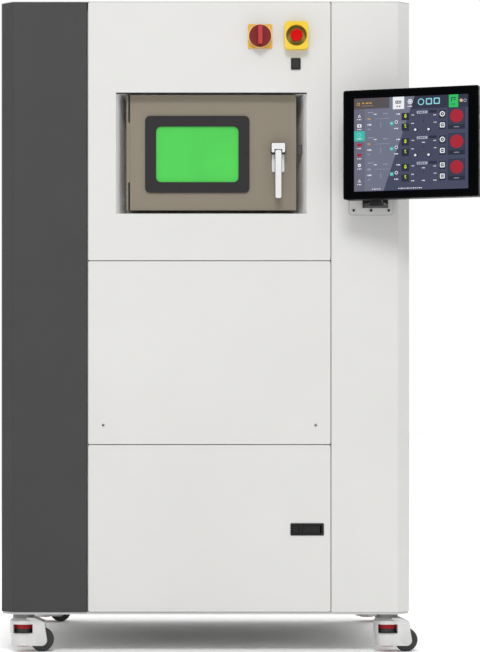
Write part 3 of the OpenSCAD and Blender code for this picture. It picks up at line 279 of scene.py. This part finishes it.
for corner in ("fl", "fr", "bl", "br"):
    FINISH[f"caster_{corner}_housing"] = casting
    FINISH[f"caster_{corner}_wheel"] = nylon
    FINISH[f"caster_{corner}_thumbwheel"] = red_dark
    FINISH[f"caster_{corner}_pad"] = red_dark

for name, obj in nodes.items():
    obj.data.materials.clear()
    obj.data.materials.append(FINISH[name])


# ---------------------------------------------------------------- small pieces

def add(name, bm, materials, body, smooth=True):
    """Links a bmesh as a piece that rides on a body."""
    me = bpy.data.meshes.new(name)
    bmesh.ops.recalc_face_normals(bm, faces=bm.faces)
    bm.to_mesh(me)
    bm.free()
    for m in materials:
        me.materials.append(m)
    o = bpy.data.objects.new(name, me)
    bpy.context.scene.collection.objects.link(o)
    if smooth:
        for f in me.polygons:
            f.use_smooth = True
        me.set_sharp_from_angle(angle=math.radians(32))
    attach(o, body)
    return o


def basis(axis):
    """Matrix whose Z is the given direction."""
    return Vector(axis).to_track_quat("Z", "Y").to_matrix().to_4x4()


def lathe(bm, profile, centre, axis, steps=28, mat=0):
    """Turns (radius, height) pairs in mm about an axis; a radius of 0 closes the end."""
    m = Matrix.Translation(centre) @ basis(axis)
    rings = []
    for r, h in profile:
        if r == 0:
            rings.append([bm.verts.new(m @ Vector((0, 0, h * MM)))])
        else:
            rings.append([bm.verts.new(m @ Vector((r * MM * math.cos(2 * math.pi * k / steps),
                                                   r * MM * math.sin(2 * math.pi * k / steps), h * MM)))
                          for k in range(steps)])
    for a, b in zip(rings, rings[1:]):
        for k in range(steps):
            j = (k + 1) % steps
            corners = [a[k % len(a)], a[j % len(a)], b[j % len(b)], b[k % len(b)]]
            face = bm.faces.new(list(dict.fromkeys(corners)))
            face.material_index = mat
    return rings


def socket_screw(bm, centre, axis, r, head=1.6, mat=0):
    """Button-head screw with a hexagon socket."""
    flat, socket = r * 0.62, r * 0.45    # radii of the head's flat top and of the socket
    steps, per_side = 24, 4              # corners of the rim, and how many face one side of the hexagon
    m = Matrix.Translation(centre) @ basis(axis)

    def corners(radius, count, height):
        return [bm.verts.new(m @ Vector((radius * MM * math.cos(2 * math.pi * k / count),
                                         radius * MM * math.sin(2 * math.pi * k / count), height * MM)))
                for k in range(count)]

    lathe(bm, [(r, 0), (r, head * 0.35), (r * 0.86, head * 0.75), (flat, head)], centre, axis, steps, mat)
    rv, hv, lv = corners(flat, steps, head), corners(socket, 6, head), corners(socket, 6, head * 0.3)
    for k in range(steps):
        a, b = hv[(k // per_side) % 6], hv[((k + 1) // per_side) % 6]
        vs = [rv[k], rv[(k + 1) % steps], b, a]
        bm.faces.new(list(dict.fromkeys(vs))).material_index = mat
    for k in range(6):
        bm.faces.new([hv[k], hv[(k + 1) % 6], lv[(k + 1) % 6], lv[k]]).material_index = mat
    bm.faces.new(lv).material_index = mat


def spot(node, x, y, z):
    """A point in mm as at() takes it, with y measured from the node's own front."""
    p = at(x, 0, z)
    return Vector((p.x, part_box(node)[0].y + y * MM, p.z))


def slab(bm, outline, y0, y1, place=at, mat=0, hole=None):
    """Plate between two depths; outline and hole are (x, z) pairs in mm, equal in number."""
    loops = [[bm.verts.new(place(x, y, z)) for x, z in pts]
             for y in (y0, y1) for pts in ((outline, hole) if hole else (outline,))]
    n = len(outline)
    quads = []
    if hole:
        of, hf, ob, hb = loops
        for k in range(n):
            j = (k + 1) % n
            quads += [(of[k], of[j], hf[j], hf[k]), (ob[k], ob[j], hb[j], hb[k]),
                      (of[k], of[j], ob[j], ob[k]), (hf[k], hf[j], hb[j], hb[k])]
    else:
        front, back = loops
        quads += [front, back] + [(front[k], front[(k + 1) % n], back[(k + 1) % n], back[k]) for k in range(n)]
    for q in quads:
        bm.faces.new(q).material_index = mat


def oblong(x, z, w, h, r, steps=5):
    """Rounded rectangle round a middle point, as (x, z) pairs."""
    pts = []
    for sx, sz, a0 in ((1, -1, -90), (1, 1, 0), (-1, 1, 90), (-1, -1, 180)):
        for k in range(steps):
            a = math.radians(a0 + 90 * k / (steps - 1))
            pts.append((x + sx * (w / 2 - r) + r * math.cos(a), z + sz * (h / 2 - r) + r * math.sin(a)))
    return pts


def repaint(node, material, test):
    """Gives the node's faces for which test(middle, normal) holds a second material; both are in at() mm."""
    obj = nodes[node]
    obj.data.materials.append(material)
    index = len(obj.data.materials) - 1
    turn = obj.matrix_world.to_3x3()
    for f in obj.data.polygons:
        p = obj.matrix_world @ f.center
        n = (turn @ f.normal).normalized()
        if test(Vector(((p.x - CX) / MM, (p.y - FY) / MM, p.z / MM)), n):
            f.material_index = index


# second finishes on the CAD pieces
repaint("recess_liner", graphite_and_handle_shade, lambda p, n: 250.2 < p.x < 262 and 47 < p.y < 53 and 1344 < p.z < 1370)
# painted light: the chamber's front flange is white so the gap beside the door reads lighter
repaint("chamber_body", white, lambda p, n: n.y < -0.9 and 118 < p.y < 126)
# painted shade: the hollow inside the stop button's guard is olive, for the shade in it
repaint("estop_guard", painted_guard_shade, lambda p, n: (p.x - 243.5) ** 2 + (p.z - 1655.5) ** 2 < 26.5 ** 2 and p.y < 12)
repaint("switch_knob", rib_red, lambda p, n: n.y < -0.9 and p.y < -30 and abs(p.x - 146.5) < 8)
# painted shade: the recessed front faces of the lever's hub are dark, for the shade in its pocket
repaint("door_handle", graphite_and_handle_shade, lambda p, n: n.y < -0.9 and 0.5 < p.y < 8)
# painted shade: the wall plate's edges are grey, for the shadow along them
repaint("screen_wall_plate", plate_edge_shade, lambda p, n: n.y > -0.5)
# painted shade: the top of each caster housing is darker, for the shade under the cabinet
for corner in ("fl", "fr", "bl", "br"):
    repaint(f"caster_{corner}_housing", neck_painted_shade, lambda p, n: p.z > 91.2)

# black strip painted as the shade in the gap along the upper edge of the recess
bm = bmesh.new()
slab(bm, [(-239.9, 1502.35), (271.9, 1502.35), (271.9, 1504.95), (-239.9, 1504.95)], 0.3, 7)
add("recess_top_shade", bm, [recess_shade_black], "cabinet", smooth=False)

# sockets of the two panel locks
bm = bmesh.new()
for x in (-274.5, 296):
    lathe(bm, [(2.6, -0.1), (2.6, 0.5), (2.2, 0.7), (1.6, 0.7), (1.6, -1.0), (0, -1.0)],
          spot("panel_locks", x, 0, 612), (0, -1, 0), 24)
add("lock_sockets", bm, [screw_black_and_lever_shade], "cabinet")

# six screws of the window bezel
bm = bmesh.new()
for x, z in ((-65.8, 1434), (21.6, 1434), (-65.8, 1250), (21.6, 1250), (-151.8, 1341.7), (108.1, 1341.7)):
    socket_screw(bm, spot("window_bezel", x, 0.1, z), (0, -1, 0), 2.6, 1.3)
add("bezel_screws", bm, [screw_black_and_lever_shade], "chamber_door")

# screws of the display's wall plate, and a grey outline painted as the shadow round its edge
bm = bmesh.new()
for x in (397.5, 444.5, 491.5):
    socket_screw(bm, spot("screen_wall_plate", x, 0.1, 1188), (0, -1, 0), 3.4, 2.0)
add("wall_plate_screws", bm, [screw_black_and_lever_shade], "cabinet")
bm = bmesh.new()
slab(bm, oblong(444.5, 1294.5, 118.6, 237.6, 9.8), -0.8, -0.1, hole=oblong(444.5, 1294.5, 116.4, 235.4, 8.7))
add("wall_plate_shadow_line", bm, [plate_edge_shade], "cabinet")

# pale ring round the main switch
bm = bmesh.new()
lathe(bm, [(29.6, -0.2), (29.6, 1.0), (30.2, 1.5), (31.4, 1.5), (32.2, 0.9), (32.2, -0.2)],
      spot("switch_plate", 146.5, 0, 1655.5), (0, -1, 0), 64)
add("switch_collar", bm, [collar_gold], "cabinet")

# ring and cap of the stop button
bm = bmesh.new()
lathe(bm, [(16.4, -0.2), (16.4, 0.5), (15.6, 0.9), (13.2, 0.9), (12.6, 0.4), (11.4, 0.25), (0, 0.25)],
      spot("estop_button", 243.5, 0, 1655.5), (0, -1, 0), 48)
add("stop_cap", bm, [signal_red], "estop_button")

# dust flap of the service port, with its finger lip
bm = bmesh.new()
slab(bm, oblong(242.5, 1582, 19.5, 24.5, 1.2), -0.9, 1.5, lambda x, y, z: spot("service_port", x, y, z))
slab(bm, oblong(242.5, 1572.5, 10, 1.6, 0.7), -1.6, -0.8, lambda x, y, z: spot("service_port", x, y, z))
add("port_flap", bm, [screw_black_and_lever_shade], "cabinet")

# dark strips in the slits of the door's hinge strip, painted as the shade in these gaps
bm = bmesh.new()
for z0, z1 in ((1191.6, 1265.4), (1427.6, 1501.4)):
    slab(bm, [(-208.5, z0), (-205.2, z0), (-205.2, z1), (-208.5, z1)], 26.75, 27.5)
add("hinge_slits", bm, [rubber_and_slit_shade], "chamber_door", smooth=False)

# dark rims round the lever's hub and along the lever, painted as the shade at their edges
hub_x, hub_z = 195.7, 1356.5
bm = bmesh.new()
slab(bm, oblong(hub_x, hub_z - 1, 39.6, 30.4, 4.2), -0.4, 17.5, hole=oblong(hub_x, hub_z, 36.1, 25.1, 3.0))
slab(bm, oblong(hub_x, 1285.3, 17.6, 128.4, 4.6), -4.6, 3.0, hole=oblong(hub_x, 1285.3, 16.1, 126.9, 3.9))
add("lever_shade_outline", bm, [screw_black_and_lever_shade], "door_handle")

# lower half of each levelling wheel: a knurled black ring, darker than the red top half
for corner in ("fl", "fr", "bl", "br"):
    lo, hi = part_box(f"caster_{corner}_thumbwheel")
    middle = Vector(((lo.x + hi.x) / 2, (lo.y + hi.y) / 2, 0))
    bm = bmesh.new()
    steps = 72
    rings = []
    for r, z in ((17.2, 50.7), (24.6, 50.7), (24.6, 61.8), (17.2, 61.8)):
        rings.append([bm.verts.new(middle + Vector((math.cos(2 * math.pi * k / steps), math.sin(2 * math.pi * k / steps), 0))
                                   * (r - (0.7 if r > 20 and k % 3 == 0 else 0)) * MM + Vector((0, 0, z * MM))) for k in range(steps)])
    for a, b in zip(rings, rings[1:] + rings[:1]):
        for k in range(steps):
            bm.faces.new((a[k], a[(k + 1) % steps], b[(k + 1) % steps], b[k]))
    add(f"knurled_ring_{corner}", bm, [nylon], f"thumbwheel_{corner}", smooth=False)

# wire guard of the rear fan, and the screws round the rear panel
def hoop(bm, centre, radius, wire, steps=56, sides=8):
    rings = []
    for k in range(steps):
        a = 2 * math.pi * k / steps
        rings.append([bm.verts.new(centre + Vector((math.cos(a) * (radius + wire * math.cos(b)), wire * math.sin(b),
                                                    math.sin(a) * (radius + wire * math.cos(b)))) * MM)
                      for b in (2 * math.pi * j / sides for j in range(sides))])
    for k in range(steps):
        a, b = rings[k], rings[(k + 1) % steps]
        for j in range(sides):
            bm.faces.new((a[j], a[(j + 1) % sides], b[(j + 1) % sides], b[j]))


bm = bmesh.new()
for radius in (14, 27, 40, 53, 66, 77):
    hoop(bm, at(-290, 952.6, 1560), radius, 1.2)
for k in range(4):
    a = math.radians(45 + 90 * k)
    way = Vector((math.cos(a), 0, math.sin(a)))
    lathe(bm, [(0, 13), (1.5, 13), (1.5, 96), (0, 96)], at(-290, 954.6, 1560), way, 10)
    socket_screw(bm, at(-290, 954.4, 1560) + way * 0.0995, (0, 1, 0), 4.4, 2.2)
add("fan_guard", bm, [chrome_wire], "cabinet")

bm = bmesh.new()
for x in (-530, 530):
    for z in (140, 520, 900, 1280, 1710):
        socket_screw(bm, at(x, 950.0, z), (0, 1, 0), 4.6, 2.2)
for x in (-180, 180):
    for z in (140, 1710):
        socket_screw(bm, at(x, 950.0, z), (0, 1, 0), 4.6, 2.2)
add("rear_screws", bm, [screw_black_and_lever_shade], "cabinet")


# ---------------------------------------------------------------- the display

YAW = math.radians(21)
PIVOT = at(455, -60, 1352.5)
GLASS_Y = -77.0                     # front of the cover glass, from the swivel axis
PICTURE = (-38.0, 121.7, 309.0, 244.5)   # left, top, width, height of the lit area


def on_screen(x, y, z):
    """A point in mm in the screen's own frame: X right along it, -Y out of it, Z up."""
    return PIVOT + Vector((x * math.cos(YAW) + y * math.sin(YAW),
                           -x * math.sin(YAW) + y * math.cos(YAW), z)) * MM


def rounded(x, y, w, h, r):
    """Outline of a rounded rectangle whose upper left corner is x, y."""
    r = min(r, w / 2, h / 2)
    if r <= 0:
        return [(x, y), (x + w, y), (x + w, y + h), (x, y + h)]
    pts = []
    for cx, cy, a0 in ((x + w - r, y + r, -90), (x + w - r, y + h - r, 0), (x + r, y + h - r, 90), (x + r, y + r, 180)):
        for k in range(5):
            a = math.radians(a0 + k * 22.5)
            pts.append((cx + r * math.cos(a), cy + r * math.sin(a)))
    return pts


def disc(x, y, r, steps=28):
    return [(x + r * math.cos(2 * math.pi * k / steps), y + r * math.sin(2 * math.pi * k / steps))
            for k in range(steps)]


UI = {
    "base": lit("ui_slate", lin(70, 74, 96)),
    "glare": lit("ui_glare", lin(113, 117, 136)),
    "bar": lit("ui_bar", lin(52, 54, 72)),
    "head": lit("ui_head", lin(88, 82, 86)),
    "column": lit("ui_column", lin(106, 106, 124)),
    "deep": lit("ui_deep", lin(43, 46, 62)),
    "panel": lit("ui_panel", lin(58, 61, 80)),
    "white": lit("ui_white", lin(236, 238, 242)),
    "pale": lit("ui_pale", lin(168, 172, 188)),
    "teal": lit("ui_teal", lin(62, 186, 172)),
    "cyan": lit("ui_cyan", lin(150, 222, 236)),
    "green": lit("ui_green", lin(44, 190, 96)),
    "lime": lit("ui_lime", lin(206, 226, 40)),
    "red": lit("ui_red", lin(168, 38, 52)),
    "gold": lit("ui_gold", lin(204, 160, 70)),
    "peach": lit("ui_peach", lin(224, 178, 148)),
}
UI_KEYS = list(UI)
shapes = []


def put(key, outline, layer):
    shapes.append((key, outline, layer))


def block(key, x, y, w, h, layer=3, r=1.0):
    put(key, rounded(x, y, w, h, r), layer)


def dashes(x, y, w, h=1.6, n=4, key="pale", layer=4):
    """A row of short marks, where a display would have a caption."""
    step = w / n
    for k in range(n):
        block(key, x + k * step, y - h / 2, step * (0.62 + 0.2 * ((k * 7) % 3 == 1)), h, layer, h * 0.4)


def ring(key, x, y, r, t, layer=4, hole="bar"):
    put(key, disc(x, y, r), layer)
    put(hole, disc(x, y, r - t), layer + 1)


def frame_icon(key, x, y, s, t, layer=4, hole="bar"):
    block(key, x - s / 2, y - s / 2, s, s, layer, 2.4)
    block(hole, x - s / 2 + t, y - s / 2 + t, s - 2 * t, s - 2 * t, layer + 1, 1.2)


W, H = PICTURE[2], PICTURE[3]
block("base", 0, 0, W, H, 0, 0)
block("bar", 0, 0, W, 33, 1, 0)
put("glare", [(0, 0), (165, 0), (81, H), (0, H)], 2)
block("head", 0, 0, 97, 28, 3, 0)
block("column", 0, 28, 29.5, H - 28, 3, 0)
# head bar
frame_icon("gold", 12, 15, 8, 1.6, 4, "head")
dashes(22, 13, 30, 3.6, 3, "gold")
dashes(22, 20, 32, 1.2, 6, "gold")
block("white", 106, 0, 31, 32, 4, 0)
block("deep", 113, 10, 16, 7.5, 5, 1)
for k in range(3):
    block("white", 115 + k * 4.6, 12, 3, 3.4, 6, 0.5)
dashes(116, 25, 12, 3, 2, "deep", 5)
ring("white", 153, 13.5, 6.6, 1.5, 4, "pale")
put("white", disc(153, 13.5, 2.6), 6)
dashes(146, 26, 14, 2.6, 3, "white")
ring("cyan", 182.5, 15.5, 8.6, 2.3)
frame_icon("cyan", 204, 15, 16.5, 2.8)
frame_icon("cyan", 225, 14.5, 16.5, 2.8)
block("green", 257.5, 0, 25, 33, 4, 0)
block("bar", 263.5, 7, 13, 2.4, 5, 0.6)
block("bar", 263.5, 7, 2.4, 11, 5, 0.6)
block("bar", 269, 12, 7, 2, 5, 0.6)
dashes(263, 25, 13, 2.2, 3, "bar", 5)
put("peach", disc(290.5, 16, 4.2), 4)
ring("pale", 300.5, 16.5, 4.2, 1.5)
# menu column
for y, kind in ((46, "white"), (72, "white"), (122, "red"), (149, "red"), (176, "white"), (217, "white")):
    if kind == "red":
        block("red", 8, y - 3.5, 13, 7, 4, 3)
    elif y == 72:
        block("white", 8.5, y - 4.5, 12, 9, 4, 2)
        put("column", disc(14.5, y, 2.4), 5)
    else:
        mark = [(14.5, y - 4.5), (19, y + 3.5), (10, y + 3.5)] if y != 176 else rounded(10.5, y - 4, 8, 8, 1.5)
        put("white", mark, 4)
        put("column", disc(14.5, y + 0.6, 1.7), 5)
    dashes(8.5, y + 9.5, 13, 2.6, 3, "white")
block("teal", 0, 86, 29, 26.5, 4, 0)
ring("cyan", 14.5, 96, 4.6, 1.0, 5, "teal")
dashes(8, 106, 14, 2.6, 3, "white", 5)
# three rows of readings and controls
for row in range(3):
    y = 38 + row * 66.4
    dashes(38, y, 17, 2.2, 4)
    dashes(54, y + 5, 9, 3, 3, "white")
    dashes(80, y + 4, 13, 2.4, 4)
    block("gold" if row != 2 else "pale", 37, y + 14.5, 8, 4.4, 4, 1.2)
    block("glare", 39.2, y + 15.7, 3.4, 2, 5, 0.5)
    dashes(58, y + 17, 40, 1.0, 13)
    dashes(37, y + 32, 12, 4.4, 3, "white")
    block("pale", 72.5, y + 27, 1.0, 14, 4, 0.3)
    dashes(37.5, y + 44, 7, 2.6, 2)
    dashes(116, y + 7, 11, 3.6, 3, "white")
    block("teal", 98, y + 26, 9.5, 9.5, 4, 1)
    block("white", 100, y + 30, 5.5, 1.6, 5, 0.4)
    ring("white", 115.5, y + 27.5, 4.4, 1.7, 4, "panel")
    dashes(110, y + 44.5, 12, 3.4, 3, "white")
    for part, dy in enumerate((11, 38.5)):
        block("deep", 130, y + dy - 6, 20, 19, 4, 1)
        leaf = (((138.5, -3), (142, -3.5), (143.5, 4), (141, 6.5), (137, 5)) if part == 0
                else ((138, -4), (142.5, -3), (141, 0), (143, 5.5), (138.5, 4)))
        put("lime", [(lx, y + dy + ly) for lx, ly in leaf], 5)
        put("deep", disc(140.2, y + dy + 1.6, 1.3), 6)
    block("pale", 171, y + 1, 29, 7, 4, 1.2)
    dashes(175, y + 4.5, 21, 3, 4, "bar", 5)
    block("deep", 204, y, 21, 7, 4, 1)
    for px, py in ((157, 11), (216, 13), (156, 33), (217, 32)):
        dashes(px, y + py, 8, 2.6, 3, "white")
    if row:
        dashes(185, y + 17, 9, 3, 3, "white")
    block("deep", 188.5, y + 24, 1.6, 7, 4, 0.4)
    if row < 2:
        for px in (167, 203):
            put("deep", disc(px + 2, y + 50, 5.2), 4)
            put("white", disc(px, y + 49.5, 3.2), 5)
    else:
        for px in (156, 185, 216):
            dashes(px, y + 50, 9, 3, 3, "white")
    for part, dy in enumerate((11, 40)):
        block("deep", 231.5, y + dy - 10, 17.5, 21, 4, 2)
        if part == 0 and row != 2:
            ring("white", 240, y + dy, 7, 2.6, 5, "deep")
            put("white", disc(240, y + dy, 1.6), 7)
        else:
            frame_icon("white", 240, y + dy, 13, 2.6, 5, "deep")
            block("white", 237.5, y + dy - 1, 5, 2, 7, 0.4)
    block("deep", 254.5, y - 4, 46, 56, 4, 1.5)
    block("panel", 255.5, y - 3, 44, 43, 5, 1)
    put("red", disc(278.5, y + 17.5, 17.4, 40), 6)
    dashes(271, y + 46, 15, 2.4, 4, "pale", 5)
dashes(49, H - 5, 24, 2.2, 5, "white")
dashes(121, H - 5, 66, 2.2, 12, "white")

bm = bmesh.new()
for key, outline, layer in shapes:
    vs = [bm.verts.new(on_screen(PICTURE[0] + x, GLASS_Y - 0.06 - 0.05 * layer, PICTURE[1] - y)) for x, y in outline]
    bm.faces.new(vs).material_index = UI_KEYS.index(key)
add("display_picture", bm, [UI[k] for k in UI_KEYS], "screen", smooth=False)


# ---------------------------------------------------------------- camera, floor and light

cam_data = bpy.data.cameras.new("camera")
cam = bpy.data.objects.new("camera", cam_data)
bpy.context.scene.collection.objects.link(cam)
cam.location = at(0, -6500, 720)
cam.rotation_euler = (math.radians(90), 0, 0)
cam_data.sensor_width = 36
cam_data.lens = 133.7
cam_data.shift_x = 0.053
cam_data.shift_y = 0.0905
cam_data.clip_start, cam_data.clip_end = 0.1, 60
bpy.context.scene.camera = cam

def shown(t):
    """1 where the camera sees a thing, also in metal or through glass."""
    paths = t.nodes.new("ShaderNodeLightPath")
    seen = paths.outputs["Is Camera Ray"]
    for ray in ("Is Glossy Ray", "Is Transmission Ray"):
        either = t.nodes.new("ShaderNodeMath")
        either.operation = "MAXIMUM"
        t.links.new(seen, either.inputs[0])
        t.links.new(paths.outputs[ray], either.inputs[1])
        seen = either.outputs["Value"]
    return seen


FLOOR_SIZE = 60                     # metres, so its edge lies beyond every view
SEEN_FLOOR = (1.16, 1.16, 1.16)     # white enough to meet the background, with the shadow kept
bpy.ops.mesh.primitive_plane_add(size=FLOOR_SIZE, location=(0, 0, -0.0002))
floor = bpy.context.active_object
floor.name = "floor"


def floor_finish(t, v):
    broad = noise(t, v, 1.2, 3.0)
    c = mix(t, remap(t, broad, 0.3, 0.7, 0.0, 1.0), (0.965, 0.965, 0.965), (0.985, 0.985, 0.985))
    c = mix(t, shown(t), c, SEEN_FLOOR)
    return bsdf(t, c, 0.75, 0.0, bump(t, noise(t, v, 400.0, 2.0), 0.05, 0.0002), Specular_IOR_Level=0.2)


floor.data.materials.append(build("floor_finish", floor_finish))

world = bpy.data.worlds.new("studio")
bpy.context.scene.world = world
world.use_nodes = True
wt = world.node_tree
wt.nodes.clear()
wo = wt.nodes.new("ShaderNodeOutputWorld")
soft = wt.nodes.new("ShaderNodeBackground")
soft.inputs["Color"].default_value = (1, 1, 1, 1)
way = wt.nodes.new("ShaderNodeTexCoord")
split = wt.nodes.new("ShaderNodeSeparateXYZ")
wt.links.new(way.outputs["Generated"], split.inputs["Vector"])
wt.links.new(remap(wt, split.outputs["Z"], 0.0, 1.0, 0.34, 1.15), soft.inputs["Strength"])
clean = wt.nodes.new("ShaderNodeBackground")
clean.inputs["Color"].default_value = (1, 1, 1, 1)
clean.inputs["Strength"].default_value = 1.0
pick = wt.nodes.new("ShaderNodeMixShader")
wt.links.new(shown(wt), pick.inputs["Fac"])
wt.links.new(soft.outputs["Background"], pick.inputs[1])
wt.links.new(clean.outputs["Background"], pick.inputs[2])
wt.links.new(pick.outputs["Shader"], wo.inputs["Surface"])


def softbox(name, place, target, size, power, spread=180):
    d = bpy.data.lights.new(name, "AREA")
    d.shape = "RECTANGLE"
    d.size, d.size_y = size
    d.energy = power
    d.spread = math.radians(spread)
    o = bpy.data.objects.new(name, d)
    bpy.context.scene.collection.objects.link(o)
    o.location = place
    o.rotation_euler = (Vector(target) - Vector(place)).to_track_quat("-Z", "Y").to_euler()
    return o


softbox("key", at(-150, -6400, 6400), at(0, 0, 700), (2.6, 2.0), 290)
softbox("back right", at(2900, 2800, 2300), at(600, 700, 200), (1.6, 1.6), 24)
softbox("back left", at(-2900, 2800, 2300), at(-600, 700, 200), (1.6, 1.6), 24)

bpy.context.scene.view_settings.view_transform = "Standard"
bpy.context.scene.view_settings.look = "None"
